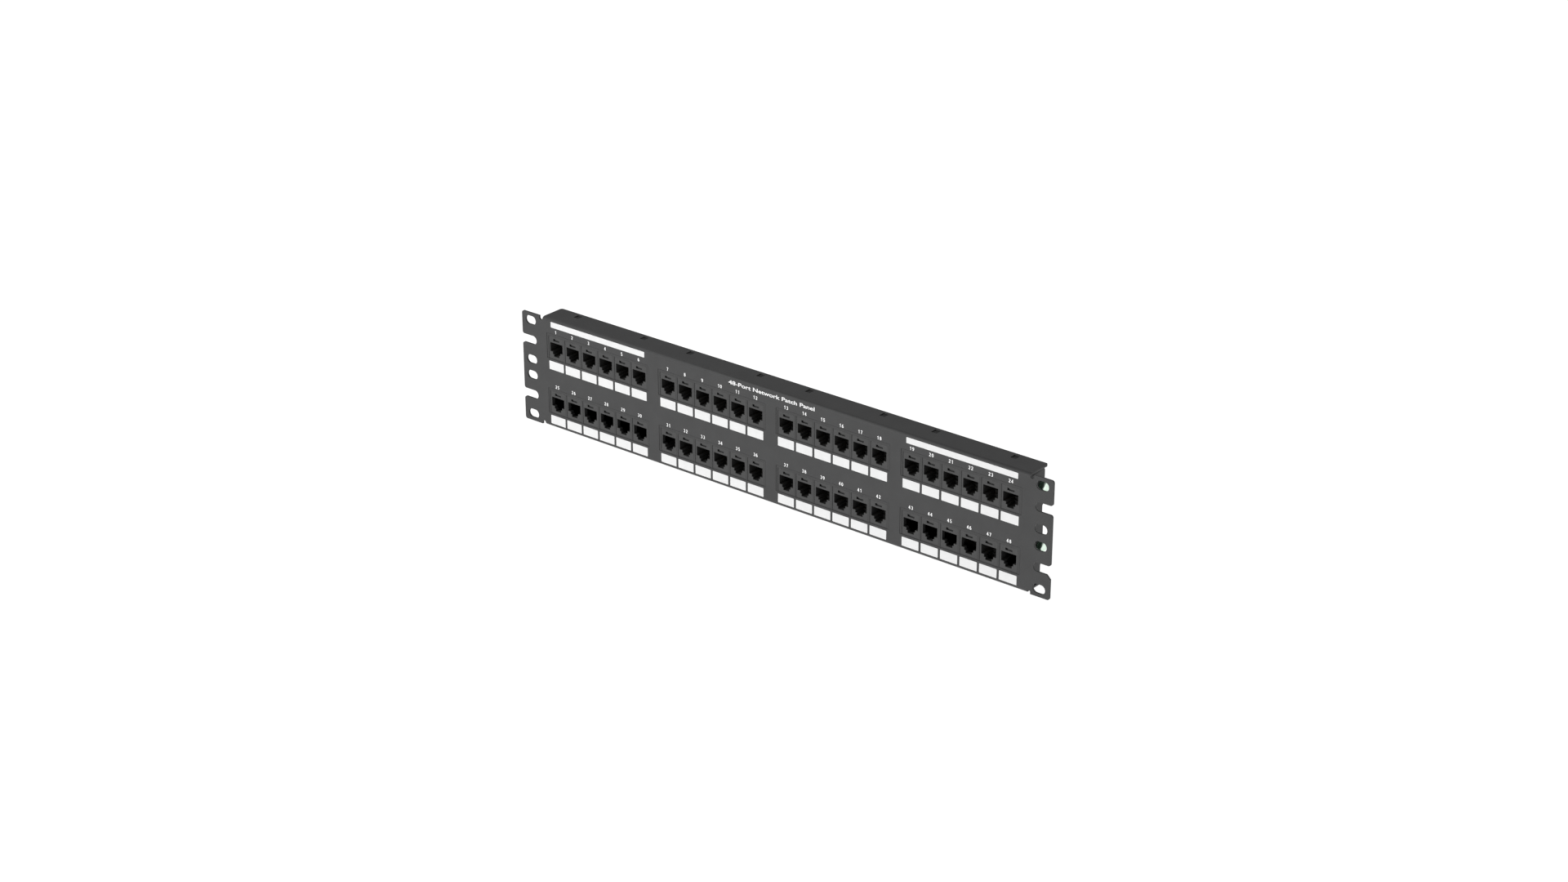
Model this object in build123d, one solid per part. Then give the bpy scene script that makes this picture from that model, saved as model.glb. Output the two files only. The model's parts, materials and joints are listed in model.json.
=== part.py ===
from build123d import *
import os
from math import hypot

# Patch panel for a 19-inch rack, two rack units high, with eight snap-in modules of six jacks.
# Frame: X across the panel, Y into the rack, Z up. Origin: the centre of the panel's front face.
# Every length is in millimetres.

# ---- Sheet-metal panel -------------------------------------------------------------------
PANEL_WIDTH = 482.6
PANEL_HEIGHT = 88.1
SHEET = 1.5
BEND_RADIUS = 2.5               # outside of the bends between face and flanges
BODY_ENDS = (-220.4, 222.5)     # ends of the flanges, just inside the two ears
FLANGE_DEPTH = 21.3
FLANGE_CORNER = 2.0
EAR_CORNER = 1.8
CHAMFERED_CORNER = 3.0          # one slot corner of the right ear is cut off at 45 degrees
RELIEF_WIDTH = 3.2              # bend-relief notch between each ear and the flanges
RELIEF_BOTTOM = 41.0            # height above the middle at which the notch ends
FACE_HALF = PANEL_HEIGHT / 2
EAR_TIP = PANEL_WIDTH / 2
NEAR = 0.01                     # how far an edge's middle may be from where it is looked for

# ---- Rack mounting holes in the ears -----------------------------------------------------
RACK_SPACING = 465.1
HOLE_LENGTH = 10.3
HOLE_HEIGHT = 6.9
HOLE_ROWS = (38.1, 6.35, -6.35, -38.1)
OPEN_SLOT_ROWS = (22.225, -22.225)
OPEN_SLOT_INNER_X = 227.2

# ---- Rows, modules and ports -------------------------------------------------------------
RACK_UNIT = 44.45
ROWS = {"upper": RACK_UNIT / 2, "lower": -RACK_UNIT / 2}
MODULE_PITCH = 110.6
MODULE_CENTRES = [(i - 1.5) * MODULE_PITCH for i in range(4)]
PORTS = 6
PORT_PITCH = 16.51
PORT_OFFSETS = [(i - (PORTS - 1) / 2) * PORT_PITCH for i in range(PORTS)]

# Heights below are counted from the middle of the row's rack unit.
BEZEL_WIDTH = 100.8
BEZEL_TOP = 9.875
BEZEL_BOTTOM = -10.225
CUTOUT_GAP = 0.2
CUTOUT_CORNER = 0.4
BEZEL_FRONT = 0.15              # the bezel stands this far behind the panel's front face

# ---- Jack housings -----------------------------------------------------------------------
JACK_WIDTH = 14.95
JACK_TOP = 7.975
JACK_BOTTOM = -10.025
JACK_FRONT = 0.3
JACK_EDGE = 0.25
BOARD_FRONT = 15.0
SOCKET_WIDTH = 12.4
SOCKET_TOP = 3.075
SOCKET_FLOOR = -4.125
SOCKET_DEPTH = 13.6
LATCH_STEPS = ((7.6, -6.025, 11.0), (5.3, -7.925, 9.0))     # width, floor and depth
LEAD_RECESS_WIDTH = 8.0
LEAD_RECESS_TOP = 4.2
LEAD_RECESS_BOTTOM = 2.8        # just under the socket's top, so that the recess opens into it
LEAD_RECESS_FRONT = 2.3
WINDOW_BOTTOM = 4.575
WINDOW_HALF = 2.9
WINDOW_HEIGHT = 1.2
WINDOW_DEPTH = 0.7
DEEP_WINDOW_WIDTH = 1.8
DEEP_WINDOW_HEIGHT = 1.8
DEEP_WINDOW_DEPTH = 1.4

# ---- Jack contacts -----------------------------------------------------------------------
WIRES = 8
WIRE_PITCH = 1.016
WIRE_OFFSETS = [(i - (WIRES - 1) / 2) * WIRE_PITCH for i in range(WIRES)]
WIRE_WIDTH = 0.4
WIRE_THICKNESS = 0.36
SPRING_ROOT = (3.0, 3.03)       # Y and Z, as for the two below
SPRING_CREST = (8.8, 0.775)
SPRING_END = (10.4, 1.375)
LEAD_FRONT = 2.48
LEAD_THICKNESS = 0.35
LEAD_BOTTOM = 3.375
LEAD_DROP = 0.4                 # length of the lead's turned-down front end

# ---- Module carrier ----------------------------------------------------------------------
CARRIER_WINDOW_GAP = 0.175
RIM_HALF = 52.0
RIM_TOP = 12.5
RIM_BOTTOM = -14.0
RIM_BACK = 3.5
TRAY_HALF = 49.9
TRAY_TOP = 10.2
TRAY_BOTTOM = -12.1
TRAY_INNER_TOP = 8.4
TRAY_INNER_BOTTOM = -10.3
TRAY_SIDE = 0.95
BOSS_SIZE = 4.6
BOSS_X = 47.4
BOSS_ROWS = (10.7, -12.4)
BOSS_FRONT = 5.0
PILOT_RADIUS = 1.15             # inscribed radius of the eight-sided pilot hole
PILOT_DEPTH = 8.0

# ---- Latch arms and the flange slots that they snap into ---------------------------------
LATCH_OFFSET = 2 * PORT_PITCH
LATCH_SLOT = (4.6, 5.2)
LATCH_SLOT_Y = 16.1
LATCH_ARM_WIDTH = 10.0
LATCH_ARM = (12.4, 14.2)        # front and back of the arm
LATCH_SHELF_BACK = 19.4
LATCH_SHELF_THICKNESS = 1.2
LATCH_GAP = 0.15
LATCH_TAB = (3.8, 4.4)
LATCH_TAB_HEIGHT = 1.1
FINGER_LIP = (1.2, 3.2)         # thickness and drop of the lip that releases the latch

# ---- Circuit board and its screws --------------------------------------------------------
BOARD_HALF = 49.6
BOARD_TOP = 13.2
BOARD_BOTTOM = -14.9
BOARD_THICKNESS = 1.6
BOARD_BACK = BOARD_FRONT + BOARD_THICKNESS
SCREW_SHANK = 1.1
SCREW_LENGTH = 5.6              # in the plastic, past the board
SCREW_CLEARANCE = 1.4
SCREW_HEAD = (2.3, 1.5)
SCREW_CROSS = (2.6, 0.6, 0.8)

# ---- Wire terminals at the back ----------------------------------------------------------
BLOCKS = 3
BLOCK_PITCH = 29.8
BLOCK_WIDTH = 29.6
BLOCK_HEIGHT = 9.6
BLOCK_ROWS = (5.65, -7.35)
BLOCK_BACK = 31.6
SLOT_FLOOR = 19.6
TERMINAL_PITCH = 3.5
TERMINAL_SLOT = 1.4
TERMINAL_OFFSETS = [(i - (WIRES - 1) / 2) * TERMINAL_PITCH for i in range(WIRES)]
TOOTH_TIP = 0.35                # half width of a pointed tooth's tip
TOOTH_TAPER = 2.4
SHORT_TOOTH = 1.2               # teeth inside a wire pair are this much shorter
TAIL_HOLE = 0.8
TAIL_HALF = 0.3
FORK_HALF = 0.6
FORK_SLIT = 0.15
FORK_SLIT_START = 22.5
FORK_END = 28.5
FORK_MOUTH = 0.9
FORK_THICKNESS = 0.6

# ---- End brackets and ground screws ------------------------------------------------------
BRACKET_INSET = 0.2             # each bracket's wall stands this far inside the flanges' ends
BRACKET_SHEET = 1.3
BRACKET_DEPTH = 17.6
BRACKET_FOOT = 9.0
BRACKET_BEND = 1.8
BRACKET_FRONT_CUT = 1.2         # the front corners are cut off to clear the bends of the panel
BRACKET_STEP = 1.6              # depth of the shallow step in each wall's rear edge, one to a row
BRACKET_STEP_ENDS = (-16.8, -7.2)
BRACKET_WALLS = {-1: BODY_ENDS[0] + BRACKET_INSET, 1: BODY_ENDS[1] - BRACKET_INSET}
GROUND_WALL = BRACKET_WALLS[1]
GROUND_SCREW_Y = 14.2
GROUND_SCREW_RISE = 8.1         # how far each ground screw is above the middle of its row
GROUND_SCREW_ROWS = [z + GROUND_SCREW_RISE for z in ROWS.values()]
GROUND_SHANK = 2.0
GROUND_HOLE = 2.1
GROUND_WASHER = (3.9, 0.9)
GROUND_HEX = (3.5, 3.3)         # inscribed radius and height of the head
GROUND_HEX_CORNER = 3.8         # radius that the head's corners are turned down to
GROUND_HEX_CHAMFER = 0.6
GROUND_SCREW_LENGTH = 3.9
GROUND_NUT = (3.5, 2.4)

# ---- Labels ------------------------------------------------------------------------------
LABEL_THICKNESS = 0.12
PORT_LABEL = (14.55, 6.85)
PORT_LABEL_Z = -15.4
PORT_LABEL_CORNER = 0.4
PANEL_LABEL = (93.0, 4.4)
PANEL_LABEL_PLACES = {"left": -165.4, "right": 166.4}
PANEL_LABEL_Z = 39.7
PANEL_LABEL_CORNER = 0.5
WIRING_LABEL = (88.0, 2.6)


def block(x, y, z):
    """A box between the given pairs of limits along X, Y and Z."""
    size = [limits[1] - limits[0] for limits in (x, y, z)]
    middle = [(limits[1] + limits[0]) / 2 for limits in (x, y, z)]
    return Pos(*middle) * Box(*size)


def around(middle, width):
    return (middle - width / 2, middle + width / 2)


def prism_along_x(points, x):
    """An outline of (y, z) points, extruded between two X limits."""
    outline = make_face(Polyline(*[(x[0], y, z) for y, z in points], close=True))
    return extrude(outline, amount=x[1] - x[0], dir=(1, 0, 0))


def prism_along_z(points, z):
    """An outline of (x, y) points, extruded between two Z limits."""
    outline = make_face(Polyline(*[(x, y, z[0]) for x, y in points], close=True))
    return extrude(outline, amount=z[1] - z[0], dir=(0, 0, 1))


def plate(sketch, y):
    """A sketch drawn in X and Z, made into a plate between two Y limits."""
    facing_front = Plane(origin=(0, y[0], 0), x_dir=(1, 0, 0), z_dir=(0, -1, 0))
    return extrude(facing_front * sketch, amount=y[1] - y[0], dir=(0, 1, 0))


def disc_along_y(radius, y, centre):
    return plate(Pos(*centre) * Circle(radius), y)


def rod_along_x(sketch, x, y, z):
    """A sketch centred on (y, z), extruded between two X limits."""
    sideways = Plane(origin=(x[0], y, z), x_dir=(0, 1, 0), z_dir=(1, 0, 0))
    return extrude(sideways * sketch, amount=x[1] - x[0])


def copies(solid, places):
    """The same solid at each (x, z) place, as separate solids of one node."""
    return Compound(children=[Pos(x, 0, z) * solid for x, z in places])


def save(shape, node):
    export_step(shape, f"parts/{node}.step")


# ---- Front panel -------------------------------------------------------------------------
def folded_channel():
    """The face between the ears, with a flange folded back along its top and its bottom."""
    outer = block(BODY_ENDS, (0, FLANGE_DEPTH), around(0, PANEL_HEIGHT))
    inner = block(BODY_ENDS, (SHEET, FLANGE_DEPTH), around(0, PANEL_HEIGHT - 2 * SHEET))
    outer = fillet(outer.edges().filter_by(Axis.X).group_by(Axis.Y)[0], BEND_RADIUS)
    inner = fillet(inner.edges().filter_by(Axis.X).group_by(Axis.Y)[0], BEND_RADIUS - SHEET)
    channel = outer - inner
    back_corners = channel.edges().filter_by(Axis.Z).group_by(Axis.Y)[-1]
    return fillet(back_corners, FLANGE_CORNER)


def tip_corners(sheet):
    """The corner edges at the outer end of an ear, those at the mouths of its open slots included."""
    return [e for e in sheet.edges().filter_by(Axis.Y) if abs(e.center().X) > EAR_TIP - NEAR]


def is_cut_corner(edge):
    """Whether a corner is the one at the lower edge of the lower open slot."""
    return abs(edge.center().Z - (OPEN_SLOT_ROWS[1] - HOLE_HEIGHT / 2)) < NEAR


def ear(side):
    """One rack ear in the face's plane. side is -1 for the left ear and 1 for the right."""
    body_end = BODY_ENDS[0] if side < 0 else BODY_ENDS[1]
    sheet = block(sorted((body_end, side * EAR_TIP)), (0, SHEET), around(0, PANEL_HEIGHT))
    for z in HOLE_ROWS:
        hole = Pos(side * RACK_SPACING / 2, z) * SlotOverall(HOLE_LENGTH, HOLE_HEIGHT)
        sheet -= plate(hole, (0, SHEET))
    for z in OPEN_SLOT_ROWS:
        length = 2 * (EAR_TIP - OPEN_SLOT_INNER_X)
        open_slot = Pos(side * EAR_TIP, z) * SlotOverall(length, HOLE_HEIGHT)
        sheet -= plate(open_slot, (0, SHEET))
    tips = tip_corners(sheet)
    cut = [tip for tip in tips if side > 0 and is_cut_corner(tip)]
    sheet = fillet([tip for tip in tips if tip not in cut], EAR_CORNER)
    if cut:
        sheet = chamfer([tip for tip in tip_corners(sheet) if is_cut_corner(tip)], CHAMFERED_CORNER)
    return sheet


def relief_notches():
    notches = []
    for x in (BODY_ENDS[0] - RELIEF_WIDTH / 2, BODY_ENDS[1] + RELIEF_WIDTH / 2):
        for up in (-1, 1):
            root = up * (RELIEF_BOTTOM + RELIEF_WIDTH / 2)
            limits = sorted((root, up * FACE_HALF))
            notches.append(block(around(x, RELIEF_WIDTH), (0, SHEET), limits))
            notches.append(disc_along_y(RELIEF_WIDTH / 2, (0, SHEET), (x, root)))
    return notches


def module_cutouts():
    width = BEZEL_WIDTH + 2 * CUTOUT_GAP
    height = BEZEL_TOP - BEZEL_BOTTOM + 2 * CUTOUT_GAP
    middle = (BEZEL_TOP + BEZEL_BOTTOM) / 2
    opening = RectangleRounded(width, height, CUTOUT_CORNER)
    return [plate(Pos(x, z + middle) * opening, (0, SHEET)) for z in ROWS.values() for x in MODULE_CENTRES]


def latch_slots():
    """Two slots over each module, through the flange that its latch arms reach."""
    slots = []
    for row, z in ROWS.items():
        up = 1 if row == "upper" else -1
        limits = sorted((up * (FACE_HALF - SHEET), up * FACE_HALF))
        for x in MODULE_CENTRES:
            for side in (-1, 1):
                across = around(x + side * LATCH_OFFSET, LATCH_SLOT[0])
                slots.append(block(across, around(LATCH_SLOT_Y, LATCH_SLOT[1]), limits))
    return slots


def front_panel():
    panel = folded_channel() + ear(-1) + ear(1)
    for cut in relief_notches() + module_cutouts() + latch_slots():
        panel -= cut
    return panel


# ---- End brackets and ground screws ------------------------------------------------------
def edges_along_y(solid, x):
    return [e for e in solid.edges().filter_by(Axis.Y) if abs(e.center().X - x) < NEAR]


def end_bracket(side):
    """A folded wall that closes one end of the panel, with feet welded under both flanges."""
    height = PANEL_HEIGHT - 2 * SHEET
    outer_x = BRACKET_WALLS[side]
    inner_x = outer_x - side * BRACKET_SHEET
    foot_end = outer_x - side * BRACKET_FOOT
    depth = (SHEET, BRACKET_DEPTH)
    outer = block(sorted((outer_x, foot_end)), depth, around(0, height))
    inner = block(sorted((inner_x, foot_end)), depth, around(0, height - 2 * BRACKET_SHEET))
    outer = fillet(edges_along_y(outer, outer_x), BRACKET_BEND)
    inner = fillet(edges_along_y(inner, inner_x), BRACKET_BEND - BRACKET_SHEET)
    bracket = outer - inner
    for up in (-1, 1):
        corner = up * height / 2
        cut = [(SHEET, corner), (SHEET + BRACKET_FRONT_CUT, corner), (SHEET, corner - up * BRACKET_FRONT_CUT)]
        bracket -= prism_along_x(cut, sorted((outer_x, foot_end)))
    wall = sorted((inner_x, outer_x))
    for z in GROUND_SCREW_ROWS:
        bracket -= rod_along_x(Circle(GROUND_HOLE), wall, GROUND_SCREW_Y, z)
    for z in ROWS.values():
        low, high = (z + end for end in BRACKET_STEP_ENDS)
        step = [(BRACKET_DEPTH - BRACKET_STEP, low), (BRACKET_DEPTH - BRACKET_STEP, high)]
        step += [(BRACKET_DEPTH, high + BRACKET_STEP), (BRACKET_DEPTH, low - BRACKET_STEP)]
        bracket -= prism_along_x(step, wall)
    return bracket


def ground_screw():
    """A hexagon washer-head screw in the right-hand wall, at z = 0."""
    washer_top = GROUND_WALL + GROUND_WASHER[1]
    head_top = washer_top + GROUND_HEX[1]
    turned = rod_along_x(Circle(GROUND_HEX_CORNER), (washer_top, head_top), GROUND_SCREW_Y, 0)
    turned = chamfer(turned.edges().group_by(Axis.X)[-1], GROUND_HEX_CHAMFER)
    hexagon = RegularPolygon(GROUND_HEX[0], 6, major_radius=False)
    head = turned & rod_along_x(hexagon, (washer_top, head_top), GROUND_SCREW_Y, 0)
    washer = rod_along_x(Circle(GROUND_WASHER[0]), (GROUND_WALL, washer_top), GROUND_SCREW_Y, 0)
    shank_limits = (GROUND_WALL - GROUND_SCREW_LENGTH, GROUND_WALL)
    shank = rod_along_x(Circle(GROUND_SHANK), shank_limits, GROUND_SCREW_Y, 0)
    return head + washer + shank


def ground_nut():
    inner_face = GROUND_WALL - BRACKET_SHEET
    outline = RegularPolygon(GROUND_NUT[0], 6, major_radius=False) - Circle(GROUND_HOLE)
    return rod_along_x(outline, (inner_face - GROUND_NUT[1], inner_face), GROUND_SCREW_Y, 0)


# ---- One jack ----------------------------------------------------------------------------
def jack_housing():
    """A jack with its middle at x = 0 and its rack unit's middle at z = 0."""
    body = block(around(0, JACK_WIDTH), (JACK_FRONT, BOARD_FRONT), (JACK_BOTTOM, JACK_TOP))
    body = chamfer(body.faces().sort_by(Axis.Y)[0].edges(), JACK_EDGE)
    body -= block(around(0, SOCKET_WIDTH), (0, SOCKET_DEPTH), (SOCKET_FLOOR, SOCKET_TOP))
    for width, floor, depth in LATCH_STEPS:
        body -= block(around(0, width), (0, depth), (floor, SOCKET_TOP))
    recess_height = (LEAD_RECESS_BOTTOM, LEAD_RECESS_TOP)
    body -= block(around(0, LEAD_RECESS_WIDTH), (LEAD_RECESS_FRONT, BOARD_FRONT), recess_height)
    window = (WINDOW_BOTTOM, WINDOW_BOTTOM + WINDOW_HEIGHT)
    body -= block((-WINDOW_HALF, WINDOW_HALF), (0, JACK_FRONT + WINDOW_DEPTH), window)
    deep_x = (-WINDOW_HALF, -WINDOW_HALF + DEEP_WINDOW_WIDTH)
    deep_z = (WINDOW_BOTTOM, WINDOW_BOTTOM + DEEP_WINDOW_HEIGHT)
    body -= block(deep_x, (0, JACK_FRONT + DEEP_WINDOW_DEPTH), deep_z)
    return body


def bent_strip(points, thickness, x):
    """A flat wire that follows three (y, z) points, with a mitred bend at the middle one."""
    (y0, z0), (y1, z1), (y2, z2) = points
    first = hypot(y1 - y0, z1 - z0)
    second = hypot(y2 - y1, z2 - z1)
    n1 = (-(z1 - z0) / first, (y1 - y0) / first)
    n2 = (-(z2 - z1) / second, (y2 - y1) / second)
    mitre = 1 + n1[0] * n2[0] + n1[1] * n2[1]
    bend = ((n1[0] + n2[0]) / mitre, (n1[1] + n2[1]) / mitre)
    half = thickness / 2
    upper = [(y0 + half * n1[0], z0 + half * n1[1]), (y1 + half * bend[0], z1 + half * bend[1])]
    upper.append((y2 + half * n2[0], z2 + half * n2[1]))
    lower = [(y2 - half * n2[0], z2 - half * n2[1]), (y1 - half * bend[0], z1 - half * bend[1])]
    lower.append((y0 - half * n1[0], z0 - half * n1[1]))
    return prism_along_x(upper + lower, x)


def contact_spring():
    """The moving beam of one contact, sloping down and back from its hairpin."""
    return bent_strip((SPRING_ROOT, SPRING_CREST, SPRING_END), WIRE_THICKNESS, around(0, WIRE_WIDTH))


def contact_lead():
    """The fixed part of one contact, from the board to the hairpin at the socket's mouth."""
    top = LEAD_BOTTOM + LEAD_THICKNESS
    drop_back = LEAD_FRONT + LEAD_THICKNESS
    drop_end = LEAD_BOTTOM - LEAD_DROP
    outline = [(LEAD_FRONT, drop_end), (drop_back, drop_end), (drop_back, LEAD_BOTTOM)]
    outline += [(BOARD_FRONT, LEAD_BOTTOM), (BOARD_FRONT, top), (LEAD_FRONT, top)]
    return prism_along_x(outline, around(0, WIRE_WIDTH))


def wire_places(row):
    """The X and Z of every contact in one row of the panel."""
    for module_x in MODULE_CENTRES:
        for port_x in PORT_OFFSETS:
            for wire_x in WIRE_OFFSETS:
                yield module_x + port_x + wire_x, ROWS[row]


# ---- Module carrier ----------------------------------------------------------------------
def latch_arm(row):
    """An arm from the tray to the flange, with the tab that snaps into the flange's slot."""
    up = 1 if row == "upper" else -1
    tray = TRAY_TOP if up > 0 else TRAY_BOTTOM
    flange = up * (FACE_HALF - SHEET) - ROWS[row]
    shelf_far = flange - up * LATCH_GAP
    shelf_near = shelf_far - up * LATCH_SHELF_THICKNESS
    wide = around(0, LATCH_ARM_WIDTH)
    arm = block(wide, LATCH_ARM, sorted((tray, shelf_far)))
    arm += block(wide, (LATCH_ARM[0], LATCH_SHELF_BACK), sorted((shelf_near, shelf_far)))
    lip_y = (LATCH_SHELF_BACK - FINGER_LIP[0], LATCH_SHELF_BACK)
    arm += block(wide, lip_y, sorted((shelf_near, shelf_near - up * FINGER_LIP[1])))
    tab_far = shelf_far + up * LATCH_TAB_HEIGHT
    arm += block(around(0, LATCH_TAB[0]), around(LATCH_SLOT_Y, LATCH_TAB[1]), sorted((shelf_far, tab_far)))
    return arm


def carrier(row):
    """The moulded frame that holds six jacks, with its bezel in the panel's cut-out."""
    bezel = block(around(0, BEZEL_WIDTH), (BEZEL_FRONT, SHEET), (BEZEL_BOTTOM, BEZEL_TOP))
    rim = block((-RIM_HALF, RIM_HALF), (SHEET, RIM_BACK), (RIM_BOTTOM, RIM_TOP))
    tray = block((-TRAY_HALF, TRAY_HALF), (RIM_BACK, BOARD_FRONT), (TRAY_BOTTOM, TRAY_TOP))
    inner_half = TRAY_HALF - TRAY_SIDE
    hollow = (TRAY_INNER_BOTTOM, TRAY_INNER_TOP)
    tray -= block((-inner_half, inner_half), (RIM_BACK, BOARD_FRONT), hollow)
    for x in (-BOSS_X, BOSS_X):
        for z in BOSS_ROWS:
            tray += block(around(x, BOSS_SIZE), (BOSS_FRONT, BOARD_FRONT), around(z, BOSS_SIZE))
    frame = bezel + rim + tray
    window_width = JACK_WIDTH + 2 * CARRIER_WINDOW_GAP
    window_height = (BEZEL_BOTTOM - CUTOUT_GAP, JACK_TOP + CARRIER_WINDOW_GAP)
    rim_height = (JACK_BOTTOM - CARRIER_WINDOW_GAP, JACK_TOP + CARRIER_WINDOW_GAP)
    for x in PORT_OFFSETS:
        frame -= block(around(x, window_width), (0, SHEET), window_height)
        frame -= block(around(x, window_width), (SHEET, RIM_BACK), rim_height)
    for x in (-BOSS_X, BOSS_X):
        for z in BOSS_ROWS:
            pilot = Pos(x, z) * RegularPolygon(PILOT_RADIUS, 8, major_radius=False)
            frame -= plate(pilot, (BOARD_FRONT - PILOT_DEPTH, BOARD_FRONT))
    for side in (-1, 1):
        frame += Pos(side * LATCH_OFFSET, 0, 0) * latch_arm(row)
    return frame


# ---- Circuit board and screws ------------------------------------------------------------
def circuit_board():
    board = block((-BOARD_HALF, BOARD_HALF), (BOARD_FRONT, BOARD_BACK), (BOARD_BOTTOM, BOARD_TOP))
    for x in (-BOSS_X, BOSS_X):
        for z in BOSS_ROWS:
            board -= disc_along_y(SCREW_CLEARANCE, (BOARD_FRONT, BOARD_BACK), (x, z))
    return board


def board_screw():
    head_top = BOARD_BACK + SCREW_HEAD[1]
    screw = disc_along_y(SCREW_HEAD[0], (BOARD_BACK, head_top), (0, 0))
    screw += disc_along_y(SCREW_SHANK, (BOARD_FRONT - SCREW_LENGTH, BOARD_BACK), (0, 0))
    length, width, depth = SCREW_CROSS
    for x, z in ((length, width), (width, length)):
        screw -= block(around(0, x), (head_top - depth, head_top), around(0, z))
    return screw


# ---- Wire terminals ----------------------------------------------------------------------
def terminal_block():
    """An eight-way block: a comb of teeth with a wire slot at each terminal."""
    half = BLOCK_WIDTH / 2
    outline = [(half, BOARD_BACK), (-half, BOARD_BACK)]
    edges = [-half]
    for x in TERMINAL_OFFSETS:
        edges += [x - TERMINAL_SLOT / 2, x + TERMINAL_SLOT / 2]
    edges.append(half)
    teeth = list(zip(edges[::2], edges[1::2]))
    for number, (left, right) in enumerate(teeth):
        inside_pair = number % 2 == 1
        tip = BLOCK_BACK - (SHORT_TOOTH if inside_pair else 0)
        middle = (left + right) / 2
        if number == 0:
            points = [(left, tip), (middle, tip), (right, tip - TOOTH_TAPER)]
        elif number == WIRES:
            points = [(left, tip - TOOTH_TAPER), (middle, tip), (right, tip)]
        else:
            points = [(left, tip - TOOTH_TAPER), (middle - TOOTH_TIP, tip)]
            points += [(middle + TOOTH_TIP, tip), (right, tip - TOOTH_TAPER)]
        outline += points
        if number < WIRES:
            outline += [(right, SLOT_FLOOR), (right + TERMINAL_SLOT, SLOT_FLOOR)]
    comb = prism_along_z(outline, around(0, BLOCK_HEIGHT))
    for x in TERMINAL_OFFSETS:
        comb -= block(around(x, TAIL_HOLE), (BOARD_BACK, SLOT_FLOOR), around(0, TAIL_HOLE))
    return comb


def terminal_contact():
    """A forked blade that cuts through a wire's insulation, with its tail on the board."""
    right = [(TAIL_HALF, BOARD_BACK), (TAIL_HALF, SLOT_FLOOR), (FORK_HALF, SLOT_FLOOR)]
    right += [(FORK_HALF, FORK_END), (FORK_SLIT, FORK_END - FORK_MOUTH), (FORK_SLIT, FORK_SLIT_START)]
    left = [(-x, y) for x, y in reversed(right)]
    return prism_along_z(right + left, around(0, FORK_THICKNESS))


def block_places():
    """The X and Z of each terminal block, from its module's middle."""
    return [((i - (BLOCKS - 1) / 2) * BLOCK_PITCH, z) for z in BLOCK_ROWS for i in range(BLOCKS)]


# ---- Labels ------------------------------------------------------------------------------
def sticker(size, corner):
    """A label that is stuck to the front face."""
    return plate(RectangleRounded(size[0], size[1], corner), (-LABEL_THICKNESS, 0))


def port_labels(row):
    label = sticker(PORT_LABEL, PORT_LABEL_CORNER)
    centre_z = ROWS[row] + PORT_LABEL_Z
    return copies(label, [(x + port, centre_z) for x in MODULE_CENTRES for port in PORT_OFFSETS])


def wiring_labels():
    """A strip with the wiring code between the two rows of terminals of each module."""
    z_middle = sum(BLOCK_ROWS) / 2
    y = (BOARD_BACK, BOARD_BACK + LABEL_THICKNESS)
    strip = block(around(0, WIRING_LABEL[0]), y, around(z_middle, WIRING_LABEL[1]))
    return copies(strip, [(x, z) for z in ROWS.values() for x in MODULE_CENTRES])


# ---- Assembly ----------------------------------------------------------------------------
def make_modules():
    jack = jack_housing()
    spring = contact_spring()
    board = circuit_board()
    terminals = terminal_block()
    number = 0
    for row, z in ROWS.items():
        frame = carrier(row)
        for x in MODULE_CENTRES:
            number += 1
            name = f"module_{number}"
            ports = [(x + port, z) for port in PORT_OFFSETS]
            wires = [(px + wire, pz) for px, pz in ports for wire in WIRE_OFFSETS]
            blocks = [(x + bx, z + bz) for bx, bz in block_places()]
            save(Pos(x, 0, z) * frame, f"{name}_carrier")
            save(copies(jack, ports), f"{name}_jacks")
            save(copies(spring, wires), f"{name}_contact_springs")
            save(Pos(x, 0, z) * board, f"{name}_circuit_board")
            save(copies(terminals, blocks), f"{name}_terminal_blocks")


def make_row_groups():
    """Small identical pieces, one node for each row of the panel."""
    lead = contact_lead()
    fork = terminal_contact()
    for row, z in ROWS.items():
        save(copies(lead, wire_places(row)), f"{row}_contact_leads")
        forks = [
            (x + bx + tx, z + bz)
            for x in MODULE_CENTRES
            for bx, bz in block_places()
            for tx in TERMINAL_OFFSETS
        ]
        save(copies(fork, forks), f"{row}_terminal_contacts")
        save(port_labels(row), f"{row}_port_labels")


def make_panel():
    save(front_panel(), "front_panel")
    save(end_bracket(-1), "left_end_bracket")
    save(end_bracket(1), "right_end_bracket")
    ground_places = [(0, z) for z in GROUND_SCREW_ROWS]
    save(copies(ground_screw(), ground_places), "ground_screws")
    save(copies(ground_nut(), ground_places), "ground_nuts")
    label = sticker(PANEL_LABEL, PANEL_LABEL_CORNER)
    for side, x in PANEL_LABEL_PLACES.items():
        save(Pos(x, 0, PANEL_LABEL_Z) * label, f"{side}_panel_label")
    save(wiring_labels(), "wiring_code_labels")
    corners = [
        (x + bx, z + bz)
        for z in ROWS.values()
        for x in MODULE_CENTRES
        for bx in (-BOSS_X, BOSS_X)
        for bz in BOSS_ROWS
    ]
    save(copies(board_screw(), corners), "board_screws")


os.makedirs("parts", exist_ok=True)
make_panel()
make_modules()
make_row_groups()
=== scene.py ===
import json
import math
import random

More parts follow.
